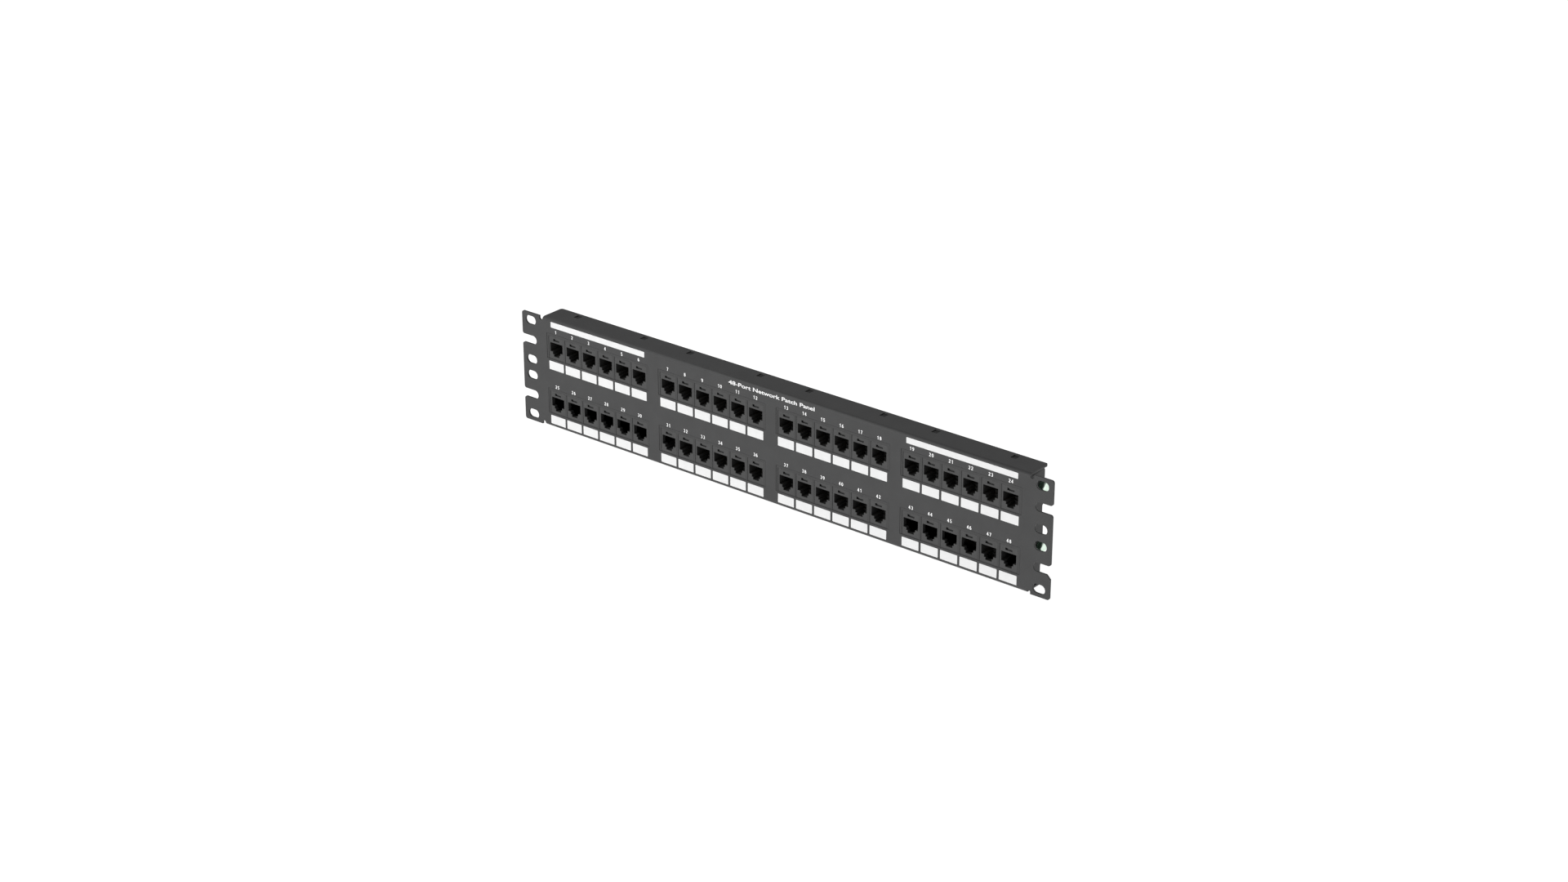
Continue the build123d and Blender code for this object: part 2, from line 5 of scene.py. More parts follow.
import bpy
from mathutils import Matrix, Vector


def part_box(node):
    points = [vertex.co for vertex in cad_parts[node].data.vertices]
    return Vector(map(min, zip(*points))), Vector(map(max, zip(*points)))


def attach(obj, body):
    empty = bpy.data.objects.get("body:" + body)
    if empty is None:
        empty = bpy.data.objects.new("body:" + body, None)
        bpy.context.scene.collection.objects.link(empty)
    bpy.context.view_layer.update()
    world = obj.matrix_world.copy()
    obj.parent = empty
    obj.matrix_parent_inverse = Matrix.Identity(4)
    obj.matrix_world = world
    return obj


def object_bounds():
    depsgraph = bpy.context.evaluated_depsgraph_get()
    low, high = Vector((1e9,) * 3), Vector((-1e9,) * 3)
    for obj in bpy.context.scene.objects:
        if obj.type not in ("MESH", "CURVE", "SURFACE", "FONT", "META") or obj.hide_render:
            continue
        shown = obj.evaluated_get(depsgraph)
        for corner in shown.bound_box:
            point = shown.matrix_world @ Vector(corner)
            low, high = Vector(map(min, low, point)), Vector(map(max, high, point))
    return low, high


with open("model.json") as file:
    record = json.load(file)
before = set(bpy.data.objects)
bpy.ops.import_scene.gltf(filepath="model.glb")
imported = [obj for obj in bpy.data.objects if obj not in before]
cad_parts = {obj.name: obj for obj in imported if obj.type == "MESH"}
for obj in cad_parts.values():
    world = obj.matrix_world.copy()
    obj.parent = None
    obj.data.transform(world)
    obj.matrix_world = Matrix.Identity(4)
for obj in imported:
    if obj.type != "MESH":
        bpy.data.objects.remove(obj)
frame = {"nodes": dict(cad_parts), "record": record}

# Looks of the patch panel. Metres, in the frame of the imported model: X across the panel,
# Y into the rack, Z up, with the origin at the centre of the panel's front face.
MM = 0.001
CAD_LOW, CAD_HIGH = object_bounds()
RANDOM = random.Random(48)
NODES = frame["nodes"]
PANEL_BODY = "panel"
HEAD_FACE_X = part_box("ground_screws")[1].x   # the outer faces of the ground screws' heads

# Places on the CAD nodes, as they repeat from row to row, module to module and port to port.
ROW_HEIGHT = 22.225 * MM
ROWS = {"upper": ROW_HEIGHT, "lower": -ROW_HEIGHT}
MODULE_PITCH = 110.6 * MM
MODULE_CENTRES = [(i - 1.5) * MODULE_PITCH for i in range(4)]
PORTS = 6
PORT_PITCH = 16.51 * MM
PORT_OFFSETS = [(i - (PORTS - 1) / 2) * PORT_PITCH for i in range(PORTS)]
WIRES = 8
WIRE_PITCH = 1.016 * MM
BLOCK_PITCH = 29.8 * MM
BLOCK_OFFSETS = (-BLOCK_PITCH, 0.0, BLOCK_PITCH)
BLOCK_ROWS = (5.65 * MM, -7.35 * MM)
TERMINAL_PITCH = 3.5 * MM
BOARD_BACK = 16.6 * MM
BOARD_MIDDLE = -0.85 * MM                    # middle of the board, against the row's middle


# ---- Node helpers ------------------------------------------------------------------------
def new_material(name):
    """A new material, its node tree and its Principled shader."""
    material = bpy.data.materials.new(name)
    material.use_nodes = True
    tree = material.node_tree
    shader = tree.nodes["Principled BSDF"]
    return material, tree, shader


def object_coordinates(tree, scale=(1, 1, 1)):
    """Positions in metres in the part's own frame, stretched by scale."""
    source = tree.nodes.new("ShaderNodeTexCoord")
    mapping = tree.nodes.new("ShaderNodeMapping")
    mapping.inputs["Scale"].default_value = scale
    tree.links.new(source.outputs["Object"], mapping.inputs["Vector"])
    return mapping.outputs["Vector"]


def noise(tree, vector, size, detail=3.0, roughness=0.5):
    """Noise whose features are about size metres across."""
    node = tree.nodes.new("ShaderNodeTexNoise")
    node.inputs["Scale"].default_value = 1 / size
    node.inputs["Detail"].default_value = detail
    node.inputs["Roughness"].default_value = roughness
    tree.links.new(vector, node.inputs["Vector"])
    return node.outputs["Fac"]


def cells(tree, vector, size):
    """Distance from the middle of the nearest of many cells about size metres across."""
    node = tree.nodes.new("ShaderNodeTexVoronoi")
    node.inputs["Scale"].default_value = 1 / size
    tree.links.new(vector, node.inputs["Vector"])
    return node.outputs["Distance"]


def spread(tree, value, low, high):
    """Noise as a value between low and high. Most noise lies between a quarter and three quarters."""
    node = tree.nodes.new("ShaderNodeMapRange")
    node.inputs["From Min"].default_value = 0.25
    node.inputs["From Max"].default_value = 0.75
    node.inputs["To Min"].default_value = low
    node.inputs["To Max"].default_value = high
    tree.links.new(value, node.inputs["Value"])
    return node.outputs["Result"]


def ramp(tree, value, stops):
    """A colour ramp through (position, (r, g, b)) stops."""
    node = tree.nodes.new("ShaderNodeValToRGB")
    elements = node.color_ramp.elements
    while len(elements) < len(stops):
        elements.new(0.5)
    for element, (position, colour) in zip(elements, stops):
        element.position = position
        element.color = (*colour, 1)
    tree.links.new(value, node.inputs["Fac"])
    return node.outputs["Color"]


def along(tree, axis, low, high):
    """0 up to low on an axis of the part's own frame, 1 from high on."""
    axes = tree.nodes.new("ShaderNodeSeparateXYZ")
    tree.links.new(object_coordinates(tree), axes.inputs["Vector"])
    place = tree.nodes.new("ShaderNodeMapRange")
    place.inputs["From Min"].default_value = low
    place.inputs["From Max"].default_value = high
    tree.links.new(axes.outputs[axis], place.inputs["Value"])
    return place.outputs["Result"]


def blended(tree, factor, a, b):
    """Colour a where the factor is 0, b where it is 1."""
    mix = tree.nodes.new("ShaderNodeMix")
    mix.data_type = "RGBA"
    tree.links.new(factor, mix.inputs["Factor"])
    tree.links.new(a, mix.inputs["A"])
    tree.links.new(b, mix.inputs["B"])
    return mix.outputs["Result"]


def bump(tree, shader, height, distance, strength=1.0):
    """Relief of the given depth in metres."""
    node = tree.nodes.new("ShaderNodeBump")
    node.inputs["Distance"].default_value = distance
    node.inputs["Strength"].default_value = strength
    tree.links.new(height, node.inputs["Height"])
    tree.links.new(node.outputs["Normal"], shader.inputs["Normal"])


def grey(value, tint=(1, 1, 1)):
    """A grey of one value, or one tinted channel by channel."""
    return tuple(value * t for t in tint)


# ---- Materials ---------------------------------------------------------------------------
def powder_coat():
    """Fine-textured black powder coat on sheet steel."""
    material, tree, shader = new_material("powder_coat")
    place = object_coordinates(tree)
    patches = noise(tree, place, 14 * MM, 4.0)
    cool = (1, 1, 1.01)
    shades = [(0.3, grey(0.0355, cool)), (0.7, grey(0.0415, cool))]
    tree.links.new(ramp(tree, patches, shades), shader.inputs["Base Color"])
    grain = noise(tree, place, 0.42 * MM, 3.0, 0.6)
    tree.links.new(spread(tree, grain, 0.50, 0.62), shader.inputs["Roughness"])
    shader.inputs["Specular IOR Level"].default_value = 0.38
    bump(tree, shader, grain, 0.018 * MM)
    return material


def moulded_plastic(name, face, inside, depths, rough):
    """Black thermoplastic with a fine spark-eroded grain and faint flow marks.

    The face that is handled is greyer and smoother than the walls behind it: the colour goes
    The colour goes from face to inside between two depths behind the front of the panel, and the
    surfaces behind the face are rougher. For the jacks and module carriers inside is darker: painted
    shade for the deep sockets and for the latch tabs in the flange slots.
    """
    material, tree, shader = new_material(name)
    place = object_coordinates(tree)
    flow = noise(tree, object_coordinates(tree, (1, 1, 0.35)), 9 * MM, 3.0)
    # painted shade for the jacks and carriers: the colour darkens with depth behind the front, where
    # sockets and slots lie in shade
    depth = along(tree, "Y", *depths)
    dark, light = 0.93, 1.07
    shades = [ramp(tree, flow, [(0.3, grey(dark * v)), (0.7, grey(light * v))]) for v in (face, inside)]
    tree.links.new(blended(tree, depth, *shades), shader.inputs["Base Color"])
    grain = noise(tree, place, 0.25 * MM, 2.0)
    rougher = tree.nodes.new("ShaderNodeMath")
    rougher.operation = "MULTIPLY_ADD"
    rougher.inputs[1].default_value = 0.25
    tree.links.new(depth, rougher.inputs[0])
    tree.links.new(spread(tree, grain, rough - 0.06, rough + 0.06), rougher.inputs[2])
    tree.links.new(rougher.outputs[0], shader.inputs["Roughness"])
    shader.inputs["Specular IOR Level"].default_value = 0.42
    bump(tree, shader, grain, 0.006 * MM)
    return material


def plated_metal(name, colour, wear_and_highlight, rough):
    """Plated metal with drawn or rolled streaks and slight tarnish."""
    material, tree, shader = new_material(name)
    streaks = noise(tree, object_coordinates(tree, (1, 0.15, 1)), 0.3 * MM, 4.0, 0.65)
    tarnish = noise(tree, object_coordinates(tree), 2.5 * MM, 3.0)
    tree.links.new(ramp(tree, tarnish, [(0.35, wear_and_highlight), (0.65, colour)]), shader.inputs["Base Color"])
    tree.links.new(spread(tree, streaks, rough - 0.08, rough + 0.1), shader.inputs["Roughness"])
    shader.inputs["Metallic"].default_value = 1.0
    bump(tree, shader, streaks, 0.004 * MM)
    return material


def paper_label():
    """White matt label stock, with fibres and faint clouds just visible."""
    material, tree, shader = new_material("label_paper")
    place = object_coordinates(tree)
    fibres = noise(tree, object_coordinates(tree, (1, 1, 3)), 0.35 * MM, 4.0, 0.7)
    clouds = noise(tree, place, 6 * MM, 2.0)
    mix = tree.nodes.new("ShaderNodeMath")
    mix.operation = "MULTIPLY_ADD"
    mix.inputs[1].default_value = 0.35
    tree.links.new(fibres, mix.inputs[0])
    tree.links.new(clouds, mix.inputs[2])
    whites = [(0.4, (0.71, 0.71, 0.708)), (0.8, (0.74, 0.74, 0.74))]
    tree.links.new(ramp(tree, mix.outputs[0], whites), shader.inputs["Base Color"])
    tree.links.new(spread(tree, fibres, 0.55, 0.7), shader.inputs["Roughness"])
    shader.inputs["Specular IOR Level"].default_value = 0.3
    bump(tree, shader, fibres, 0.006 * MM)
    return material


def coloured_ink(name, colour):
    """Screen-printing ink, a little uneven where it lies on what it is printed on."""
    material, tree, shader = new_material(name)
    mottle = noise(tree, object_coordinates(tree), 0.3 * MM, 3.0, 0.6)
    thin = grey(0.86, colour)
    tree.links.new(ramp(tree, mottle, [(0.3, thin), (0.6, colour)]), shader.inputs["Base Color"])
    tree.links.new(spread(tree, mottle, 0.45, 0.6), shader.inputs["Roughness"])
    bump(tree, shader, mottle, 0.01 * MM)
    return material


def green_screw():
    """Glossy green lacquer, darkened as painted shade, going over to pale metallic plating on the
    heads' outer faces as a painted highlight.
    """
    material, tree, shader = new_material("ground_green")
    place = object_coordinates(tree)
    patches = noise(tree, place, 1.6 * MM, 4.0, 0.6)
    # painted light: dark green stands in for the shade on the heads' sides, pale metal for the
    # highlight on their outer faces
    outer = along(tree, "X", HEAD_FACE_X - 1.2 * MM, HEAD_FACE_X - 0.2 * MM)
    lacquer = ramp(tree, patches, [(0.35, (0.045, 0.080, 0.055)), (0.7, (0.065, 0.115, 0.080))])
    wear_and_highlight = ramp(tree, patches, [(0.35, (0.62, 0.78, 0.65)), (0.7, (0.86, 0.95, 0.87))])
    tree.links.new(blended(tree, outer, lacquer, wear_and_highlight), shader.inputs["Base Color"])
    tree.links.new(spread(tree, patches, 0.16, 0.26), shader.inputs["Roughness"])
    tree.links.new(outer, shader.inputs["Metallic"])
    bump(tree, shader, noise(tree, place, 0.3 * MM), 0.006 * MM)
    return material


def board_laminate():
    """Green solder mask, with the weave of the glass and the copper tracks just showing through."""
    material, tree, shader = new_material("solder_mask")
    place = object_coordinates(tree)
    tracks = tree.nodes.new("ShaderNodeTexWave")
    tracks.wave_type = "BANDS"
    tracks.bands_direction = "Z"
    tracks.inputs["Scale"].default_value = 160
    tracks.inputs["Distortion"].default_value = 6
    tracks.inputs["Detail"].default_value = 1
    tracks.inputs["Detail Scale"].default_value = 0.6
    tree.links.new(place, tracks.inputs["Vector"])
    stops = [(0.55, (0.012, 0.075, 0.034)), (0.62, (0.022, 0.125, 0.055))]
    tree.links.new(ramp(tree, tracks.outputs["Fac"], stops), shader.inputs["Base Color"])
    weave = cells(tree, place, 0.45 * MM)
    tree.links.new(spread(tree, weave, 0.22, 0.34), shader.inputs["Roughness"])
    bump(tree, shader, tracks.outputs["Fac"], 0.02 * MM, 0.4)
    return material


PAPER = paper_label()
MATERIALS = {
    "panel_coat": powder_coat(),
    # painted shade: module and jack plastic darken from 3 mm and from 0.45 mm behind the front, for the
    # shade in the slots and sockets
    "module_plastic": moulded_plastic("module_plastic", 0.032, 0.012, (3 * MM, 6 * MM), 0.5),
    "jack_plastic": moulded_plastic("jack_plastic", 0.040, 0.012, (0.45 * MM, 1.0 * MM), 0.5),
    "terminal_plastic": moulded_plastic("terminal_plastic", 0.040, 0.055, (20 * MM, 32 * MM), 0.42),
    "board_laminate": board_laminate(),
    "contact_gold": plated_metal("contact_gold", (0.90, 0.66, 0.27), (0.78, 0.52, 0.20), 0.24),
    "terminal_tin": plated_metal("terminal_tin", (0.78, 0.77, 0.75), (0.62, 0.61, 0.59), 0.32),
    "zinc_steel": plated_metal("zinc_steel", (0.66, 0.67, 0.68), (0.52, 0.53, 0.55), 0.35),
    "screw_black": plated_metal("screw_black", (0.07, 0.07, 0.07), (0.045, 0.045, 0.045), 0.38),
    "ground_green": green_screw(),
    "label_paper": PAPER,
    "wiring_label_print": PAPER,
}


def paint_nodes():
    """Gives every CAD node its material, by the slot that the record names for it."""
    for subpart in frame["record"]["subparts"]:
        node = NODES[subpart["node"]]
        node.data.materials.clear()
        node.data.materials.append(MATERIALS[subpart["material_slot"]])


# ---- Edges of the CAD nodes --------------------------------------------------------------
def soften_edges(node, width):
    """Joins the faces of a CAD node and rounds its edges."""
    weld = node.modifiers.new("weld", "WELD")
    weld.merge_threshold = 0.002 * MM
    flatten = node.modifiers.new("flatten", "DECIMATE")
    flatten.decimate_type = "DISSOLVE"
    flatten.angle_limit = math.radians(0.5)
    rounding = node.modifiers.new("rounding", "BEVEL")
    rounding.width = width
    rounding.segments = 2
    rounding.limit_method = "ANGLE"
    rounding.angle_limit = math.radians(40)
    rounding.harden_normals = False
    rounding.use_clamp_overlap = True


# ---- Mesh building -----------------------------------------------------------------------
def along_x(across, a, b):
    """Shapes drawn in depth and height, and extruded to the right."""
    return (across, a, b)


def along_z(across, a, b):
    """Shapes drawn in width and depth, and extruded upwards."""
    return (a, b, across)


def on_front(depth, a, b):
    """Flat things on the front face: a to the right, b up, depth towards the viewer."""
    return (a, -depth, b)


def on_back(depth, a, b):
    """Flat things on the rear side, where the viewer's right is at -X."""
    return (-a, depth, b)


class Builder:
    """Gathers the vertices and faces of one piece."""

    def __init__(self):
        self.vertices = []
        self.faces = []

    def add(self, vertices, faces):
        start = len(self.vertices)
        self.vertices += vertices
        self.faces += [[start + i for i in face] for face in faces]

    def prism(self, outline, low, high, lay, place):
        """An outline of (a, b) points extruded from low to high, laid out by lay and moved to place."""
        corners = [lay(depth, a, b) for depth in (low, high) for a, b in outline]
        moved = [tuple(c + p for c, p in zip(corner, place)) for corner in corners]
        count = len(outline)
        faces = [list(range(count))[::-1], list(range(count, 2 * count))]
        faces += [[i, (i + 1) % count, (i + 1) % count + count, i + count] for i in range(count)]
        self.add(moved, faces)

    def ribbon(self, points, width, low, high, lay, place):
        """A stroke of even width that follows (a, b) points, extruded from low to high."""
        closed = points[0] == points[-1]
        count = len(points)
        sides = [[], []]
        for i, (a, b) in enumerate(points):
            before = points[i - 1] if i else (points[-2] if closed else None)
            after = points[i + 1] if i < count - 1 else (points[1] if closed else None)
            normals = []
            for start, end in ((before, (a, b)), ((a, b), after)):
                if start and end:
                    length = math.hypot(end[0] - start[0], end[1] - start[1])
                    normals.append((-(end[1] - start[1]) / length, (end[0] - start[0]) / length))
            one, two = normals[0], normals[-1]
            mitre = max(0.35, 1 + one[0] * two[0] + one[1] * two[1])
            shift = ((one[0] + two[0]) / mitre, (one[1] + two[1]) / mitre)
            for side, sign in zip(sides, (0.5, -0.5)):
                side.append((a + sign * width * shift[0], b + sign * width * shift[1]))
        for i in range(count - 1):
            quad = [sides[0][i], sides[1][i], sides[1][i + 1], sides[0][i + 1]]
            self.prism(quad, low, high, lay, place)

    def piece(self, name, material, slot=None):
        """Makes the piece, which rides on the panel."""
        mesh = bpy.data.meshes.new(name)
        mesh.from_pydata(self.vertices, [], self.faces)
        mesh.materials.append(material)
        mesh.update()
        made = bpy.data.objects.new(name, mesh)
        bpy.context.scene.collection.objects.link(made)
        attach(made, PANEL_BODY)


# ---- Lettering ---------------------------------------------------------------------------
INK_LIFT = 0.02 * MM
BOX_WIDTH = 0.62            # of a character, against its height
ADVANCE = 0.84              # from one character to the next, against their height


def arc(middle, radii, start, end, steps=14):
    """Points on an ellipse between two angles in degrees."""
    points = []
    for i in range(steps + 1):
        angle = math.radians(start + (end - start) * i / steps)
        points.append((middle[0] + radii[0] * math.cos(angle), middle[1] + radii[1] * math.sin(angle)))
    return points


def loop(middle, radii):
    """A closed ellipse, whose last point is its first one."""
    points = arc(middle, radii, 0, 360, 20)
    return points[:-1] + points[:1]


def turned(strokes):
    """The strokes of a character, turned upside down."""
    return [[(BOX_WIDTH - a, 1 - b) for a, b in stroke] for stroke in strokes]


SIX = [loop((0.31, 0.31), (0.215, 0.22)), arc((0.40, 0.42), (0.30, 0.48), 188, 78)]
# Strokes of the bold characters, in a box BOX_WIDTH wide and 1 high.
STROKES = {
    "0": [loop((0.31, 0.5), (0.215, 0.41))],
    "1": [[(0.38, 0.0), (0.38, 1.0)], [(0.12, 0.74), (0.38, 0.87)]],
    "2": [arc((0.31, 0.70), (0.20, 0.21), 165, -38) + [(0.12, 0.12)], [(0.05, 0.09), (0.57, 0.09)]],
    "3": [arc((0.29, 0.71), (0.19, 0.20), 145, -85), arc((0.29, 0.29), (0.215, 0.20), 85, -150)],
    "4": [[(0.40, 0.92), (0.10, 0.33)], [(0.03, 0.30), (0.61, 0.30)], [(0.42, 0.0), (0.42, 1.0)]],
    "5": [[(0.56, 0.91), (0.13, 0.91)], [(0.16, 0.95), (0.13, 0.50)]]
    + [arc((0.30, 0.31), (0.215, 0.22), 125, -150)],
    "6": SIX,
    "7": [[(0.05, 0.91), (0.58, 0.91)], [(0.50, 0.90), (0.22, 0.0)]],
    "8": [loop((0.31, 0.73), (0.18, 0.18)), loop((0.31, 0.30), (0.215, 0.21))],
    "9": turned(SIX),
    "A": [[(0.05, 0.0), (0.30, 0.95)], [(0.32, 0.95), (0.57, 0.0)], [(0.14, 0.30), (0.48, 0.30)]],
    "B": [[(0.12, 0.0), (0.12, 1.0)]]
    + [[(0.12, 0.91)] + arc((0.32, 0.73), (0.17, 0.18), 90, -90) + [(0.12, 0.55)]]
    + [[(0.12, 0.53)] + arc((0.32, 0.31), (0.21, 0.22), 90, -90) + [(0.12, 0.09)]],
}


def write(builder, words, height, middle, lay, place, weight=0.19):
    """Bold characters centred at middle, in the plane that lay and place give."""
    advance = ADVANCE * height
    start = middle[0] - advance * len(words) / 2 + (advance - BOX_WIDTH * height) / 2
    foot = middle[1] - 0.5 * height
    for i, character in enumerate(words):
        left = start + i * advance
        for layer, stroke in enumerate(STROKES[character]):
            points = [(left + a * height, foot + b * height) for a, b in stroke]
            lift = INK_LIFT * (1 + 0.04 * layer)
            builder.ribbon(points, weight * height, 0, lift, lay, place)


def port_numbers(ink):
    """The numbers 1 to 48 over the sockets, one piece for each row."""
    height = 2.65 * MM
    rise = 12.2 * MM
    number = 0
    for row, z in ROWS.items():
        builder = Builder()
        for x in MODULE_CENTRES:
            for port in PORT_OFFSETS:
                number += 1
                write(builder, str(number), height, (port, rise), on_front, (x, 0, z))
        builder.piece(f"{row}_port_numbers", ink)


def caption(ink):
    """The panel's name, between the two long labels."""
    left, right, z = -38.8 * MM, 39.7 * MM, 40.0 * MM
    capital_height = 3.0 * MM
    curve = bpy.data.curves.new("caption", "FONT")
    curve.body = "48-Port Network Patch Panel"
    curve.align_x = "CENTER"
    curve.align_y = "CENTER"
    curve.size = capital_height / 0.73
    curve.offset = 0.09 * MM
    curve.extrude = INK_LIFT / 2
    text = bpy.data.objects.new("caption", curve)
    bpy.context.scene.collection.objects.link(text)
    bpy.context.view_layer.update()
    evaluated = text.evaluated_get(bpy.context.evaluated_depsgraph_get())
    mesh = bpy.data.meshes.new_from_object(evaluated)
    points = [v.co for v in mesh.vertices]
    start = min(p.x for p in points)
    stretch = (right - left) / (max(p.x for p in points) - start)
    vertices = [(left + (p.x - start) * stretch, -p.z - INK_LIFT / 2, z + p.y) for p in points]
    builder = Builder()
    builder.add(vertices, [list(face.vertices) for face in mesh.polygons])
    bpy.data.objects.remove(text)
    bpy.data.meshes.remove(mesh)
    builder.piece("printed_caption", ink)


# ---- Plastic details ---------------------------------------------------------------------
def contact_combs():
    """Inside each jack: ribs between the leads in the roof, and the teeth that guide the springs."""
    half = 0.21 * MM
    rib = [(2.95, 4.2), (2.95, 3.3), (3.15, 3.1), (14.9, 3.1), (14.9, 4.2)]
    tooth = [(9.3, 3.05), (9.3, 0.9), (9.8, 0.4), (13.2, 0.4), (13.55, 0.75), (13.55, 3.05)]
    for row, z in ROWS.items():
        builder = Builder()
        for x in MODULE_CENTRES:
            for port in PORT_OFFSETS:
                for gap in range(WIRES + 1):
                    middle = x + port + (gap - WIRES / 2) * WIRE_PITCH
                    shapes = [tooth] if gap in (0, WIRES) else [tooth, rib]
                    for shape in shapes:
                        outline = [(a * MM, b * MM) for a, b in shape]
                        builder.prism(outline, -half, half, along_x, (middle, 0, z))
        builder.piece(f"{row}_contact_combs", MATERIALS["jack_plastic"], "jack_plastic")


def frame_strip(builder, outer, inner, low, high, place):
    """A closed strip between two (left, right, bottom, top) outlines on the front."""
    (l0, r0, b0, t0), (l1, r1, b1, t1) = outer, inner
    bars = [[(l0, b0), (r0, b0), (r1, b1), (l1, b1)], [(r0, b0), (r0, t0), (r1, t1), (r1, b1)]]
    bars += [[(r0, t0), (l0, t0), (l1, t1), (r1, t1)], [(l0, t0), (l0, b0), (l1, b1), (l1, t1)]]
    for bar in bars:
        builder.prism([(a * MM, b * MM) for a, b in bar], low, high, on_front, place)


def joint_seats():
    """Thin ledges in the joints round each jack and round each module, just behind their faces."""
    jack = (-7.32, 7.32, -9.87, 7.82)
    window = (-7.65, 7.65, -10.4, 8.15)
    bezel = (-50.4, 50.4, -10.225, 9.875)
    cutout = (-50.6, 50.6, -10.425, 10.075)
    for row, z in ROWS.items():
        builder = Builder()
        for x in MODULE_CENTRES:
            frame_strip(builder, cutout, bezel, -1.4 * MM, -0.4 * MM, (x, 0, z))
            for port in PORT_OFFSETS:
                frame_strip(builder, window, jack, -1.4 * MM, -0.38 * MM, (x + port, 0, z))
        builder.piece(f"{row}_joint_seats", MATERIALS["module_plastic"], "module_plastic")


def wire_grips():
    """Small ribs in the walls of every terminal slot, over and under the forked contact."""
    wall, inward = 0.7 * MM, 0.42 * MM
    for row, z in ROWS.items():
        builder = Builder()
        for x in MODULE_CENTRES:
            for block_x in BLOCK_OFFSETS:
                for block_z in BLOCK_ROWS:
                    for i in range(WIRES):
                        slot_x = x + block_x + (i - (WIRES - 1) / 2) * TERMINAL_PITCH
                        for side in (-1, 1):
                            outline = [(side * wall, 26.0 * MM), (side * inward, 26.5 * MM)]
                            outline += [(side * inward, 26.8 * MM), (side * wall, 27.3 * MM)]
                            for low, high in ((-4.7, -1.1), (1.1, 4.7)):
                                place = (slot_x, 0, z + block_z)
                                builder.prism(outline, low * MM, high * MM, along_z, place)
        builder.piece(f"{row}_wire_grips", MATERIALS["terminal_plastic"], "terminal_plastic")


# ---- Prints on the rear ------------------------------------------------------------------
LABEL_BACK = BOARD_BACK + 0.12 * MM
PAIR_ORDER = {"A": ("blue", "green", "orange", "brown"), "B": ("blue", "orange", "green", "brown")}
PAIR_COLOURS = {
    "blue": (0.03, 0.13, 0.52),
    "orange": (0.80, 0.23, 0.02),
    "green": (0.04, 0.34, 0.10),
    "brown": (0.20, 0.075, 0.03),
}


def rectangle(middle, width, height):
    a, b = middle
    corners = ((-0.5, -0.5), (0.5, -0.5), (0.5, 0.5), (-0.5, 0.5))
    return [(a + side * width, b + end * height) for side, end in corners]


def pair_marks():
    """The wiring code on the labels: each wire's colour, for code A over code B."""
    builders = {colour: Builder() for colour in PAIR_COLOURS}
    letters = Builder()
    for z in ROWS.values():
        for x in MODULE_CENTRES:
            place = (x, LABEL_BACK, z + BOARD_MIDDLE)
            for code, rise in (("A", 0.62 * MM), ("B", -0.62 * MM)):
                for end in (-43.1 * MM, 43.1 * MM):
                    write(letters, code, 0.95 * MM, (end, rise), on_back, place)
                for block_x in BLOCK_OFFSETS:
                    for pair, colour in enumerate(PAIR_ORDER[code]):
                        striped = block_x + (2 * pair - 3.5) * TERMINAL_PITCH
                        solid = striped + TERMINAL_PITCH
                        builder = builders[colour]
                        mark = rectangle((solid, rise), 2.9 * MM, 0.9 * MM)
                        builder.prism(mark, 0, INK_LIFT, on_back, place)
                        for bar in (-1.2 * MM, 0, 1.2 * MM):
                            mark = rectangle((striped + bar, rise), 0.5 * MM, 0.9 * MM)
                            builder.prism(mark, 0, INK_LIFT, on_back, place)
    for colour, builder in builders.items():
        builder.piece(f"pair_marks_{colour}", coloured_ink(f"{colour}_ink", PAIR_COLOURS[colour]))
    letters.piece("wiring_code_letters", coloured_ink("black_ink", (0.02, 0.02, 0.022)))


def board_legends(ink):
    """Screen printing on the boards: each terminal block's port number, and corner marks."""
    number = 0
    line = 0.16 * MM
    for row, z in ROWS.items():
        builder = Builder()
        for x in MODULE_CENTRES:
            place = (x, BOARD_BACK, z)
            for i, block_x in enumerate(BLOCK_OFFSETS):
                for port, height in ((1, 11.85 * MM), (2, -13.5 * MM)):
                    words = str(number + 2 * i + port)
                    write(builder, words, 1.7 * MM, (-block_x, height), on_back, place, 0.14)
                    for side in (-1, 1):
                        dash = [(-block_x + side * end, height) for end in (3.0 * MM, 10.5 * MM)]
                        builder.ribbon(dash, line, 0, INK_LIFT, on_back, place)
            for side in (-1, 1):
                edge = side * 45.4 * MM
                bend = side * 44.9 * MM
                bracket = [(bend, 7.6 * MM), (edge, 7.6 * MM), (edge, -9.3 * MM), (bend, -9.3 * MM)]
                builder.ribbon(bracket, line, 0, INK_LIFT, on_back, place)
            number += PORTS
        builder.piece(f"{row}_board_legends", ink)


def board_pads():
    """Tinned via rings along the boards' edges, and a round sighting mark at each end."""
    def ring(builder, middle, outer, inner, place):
        radius = (outer + inner) / 2
        builder.ribbon(loop(middle, (radius, radius)), outer - inner, 0, 2 * INK_LIFT, on_back, place)

    for row, z in ROWS.items():
        builder = Builder()
        for x in MODULE_CENTRES:
            place = (x, BOARD_BACK, z)
            for height in (12.75 * MM, -14.45 * MM):
                for step in range(66):
                    if RANDOM.random() < 0.45:
                        middle = ((step - 32.5) * 1.27 * MM, height)
                        ring(builder, middle, 0.30 * MM, 0.14 * MM, place)
            for end in (-47.4 * MM, 47.4 * MM):
                ring(builder, (end, BOARD_MIDDLE), 0.9 * MM, 0.65 * MM, place)
                ring(builder, (end, BOARD_MIDDLE), 0.4 * MM, 0.02 * MM, place)
        builder.piece(f"{row}_board_pads", MATERIALS["terminal_tin"], "terminal_tin")


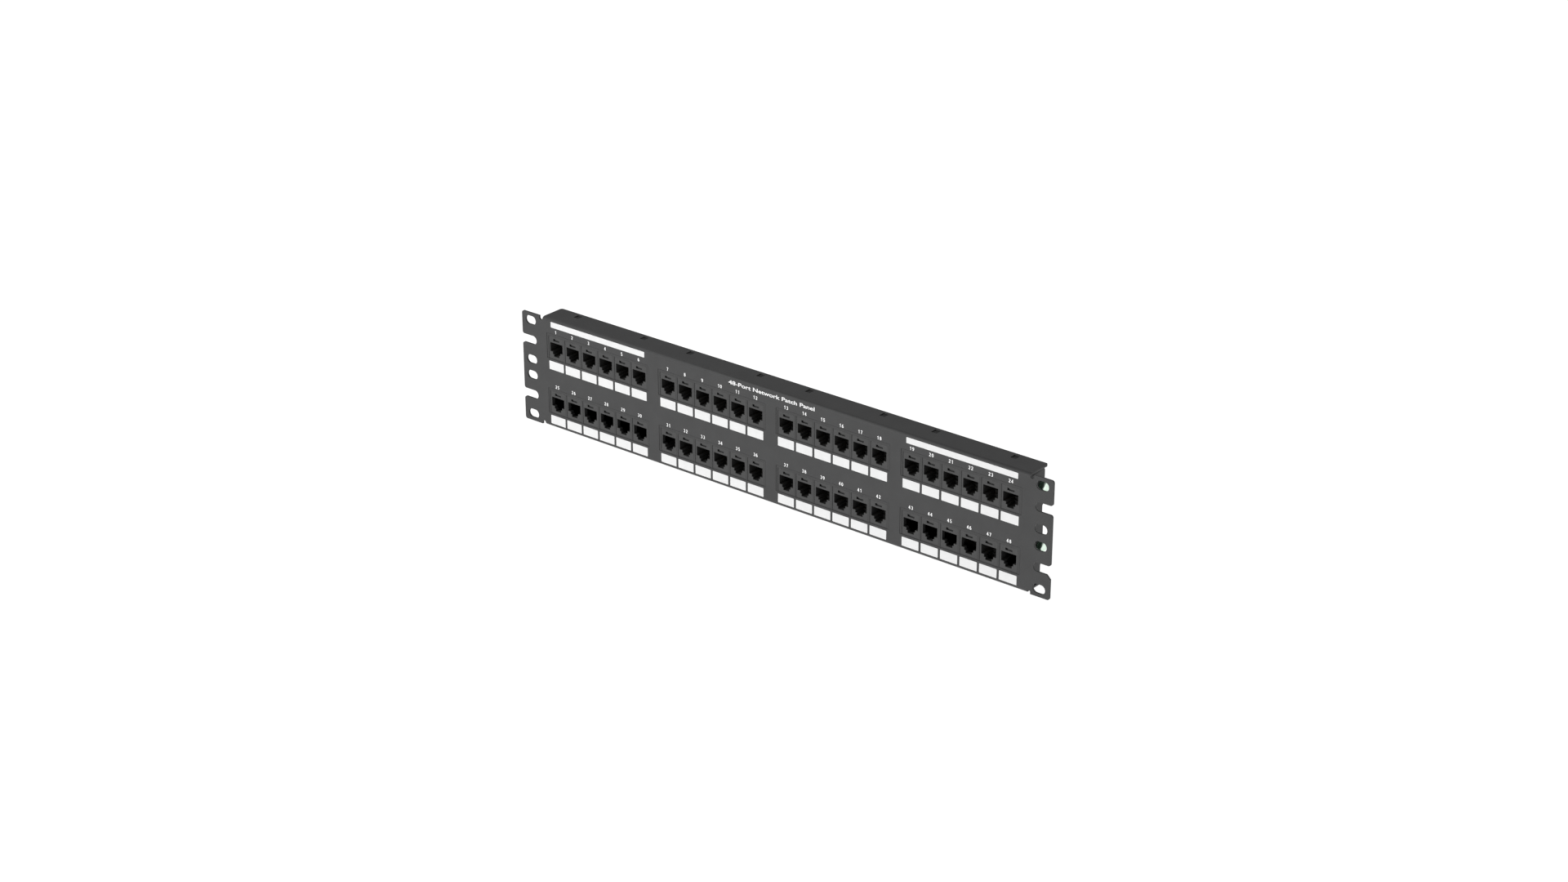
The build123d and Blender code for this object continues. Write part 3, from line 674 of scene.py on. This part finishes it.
# ---- Floor, light and camera -------------------------------------------------------------
def pale_floor():
    """The floor that the panel stands on, shining enough to come out white."""
    mesh = bpy.data.meshes.new("floor")
    side = 24.0
    corners = [(a, b, CAD_LOW.z) for a, b in rectangle((0, 0), side, side)]
    mesh.from_pydata(corners, [], [(0, 1, 2, 3)])
    floor = bpy.data.objects.new("floor", mesh)
    bpy.context.scene.collection.objects.link(floor)
    material, _, shader = new_material("floor")
    shader.inputs["Base Color"].default_value = (0.20, 0.20, 0.20, 1)
    shader.inputs["Roughness"].default_value = 0.9
    shader.inputs["Emission Color"].default_value = (1, 1, 1, 1)
    shader.inputs["Emission Strength"].default_value = 0.93
    mesh.materials.append(material)


def aim(thing, target):
    direction = Vector(target) - thing.location
    thing.rotation_mode = "QUATERNION"
    thing.rotation_quaternion = direction.to_track_quat("-Z", "Y")


def soft_light(name, place, target, size, watts):
    lamp = bpy.data.lights.new(name, "AREA")
    lamp.shape = "DISK"
    lamp.size = size
    lamp.energy = watts
    light = bpy.data.objects.new(name, lamp)
    light.location = place
    bpy.context.scene.collection.objects.link(light)
    aim(light, target)


def studio():
    world = bpy.data.worlds.new("studio")
    world.use_nodes = True
    background = world.node_tree.nodes["Background"]
    background.inputs["Color"].default_value = (1, 1, 1, 1)
    background.inputs["Strength"].default_value = 0.39
    bpy.context.scene.world = world
    soft_light("key", (-0.9, -2.7, 0.8), (0, 0, 0), 1.8, 40)
    soft_light("top", (-1.0, -0.72, 1.25), (-0.05, 0, 0), 0.45, 7.5)
    soft_light("back", (0.3, 2.4, 0.4), (0, 0, 0), 1.6, 18)


def camera():
    """Looks down at the panel from its right, in front."""
    data = bpy.data.cameras.new("camera")
    data.sensor_width = 36
    data.lens = 69.834
    data.clip_start = 0.05
    data.clip_end = 60
    view = bpy.data.objects.new("camera", data)
    view.location = (1.25064, -1.5188, 0.8884)
    forward = Vector((-0.5765, 0.7070, -0.4097))
    view.rotation_mode = "QUATERNION"
    view.rotation_quaternion = forward.to_track_quat("-Z", "Y")
    bpy.context.scene.collection.objects.link(view)
    bpy.context.scene.camera = view


# ---- Making it all -----------------------------------------------------------------------
# Widths of the rounded edges, by node, or by what the node is in its module.
ROUNDED = {
    "front_panel": 0.22 * MM,
    "left_end_bracket": 0.2 * MM,
    "right_end_bracket": 0.2 * MM,
    "ground_screws": 0.15 * MM,
    "ground_nuts": 0.15 * MM,
    "board_screws": 0.1 * MM,
    "carrier": 0.1 * MM,
    "jacks": 0.12 * MM,
    "terminal_blocks": 0.12 * MM,
}

scene = bpy.context.scene
scene.view_settings.view_transform = "Standard"
camera()
studio()
pale_floor()
paint_nodes()
for name, node in NODES.items():
    kind = name.split("_", 2)[-1] if name.startswith("module_") else name
    if kind in ROUNDED:
        soften_edges(node, ROUNDED[kind])
white_ink = coloured_ink("white_ink", (0.86, 0.86, 0.86))
port_numbers(white_ink)
caption(white_ink)
contact_combs()
joint_seats()
wire_grips()
pair_marks()
board_legends(white_ink)
board_pads()
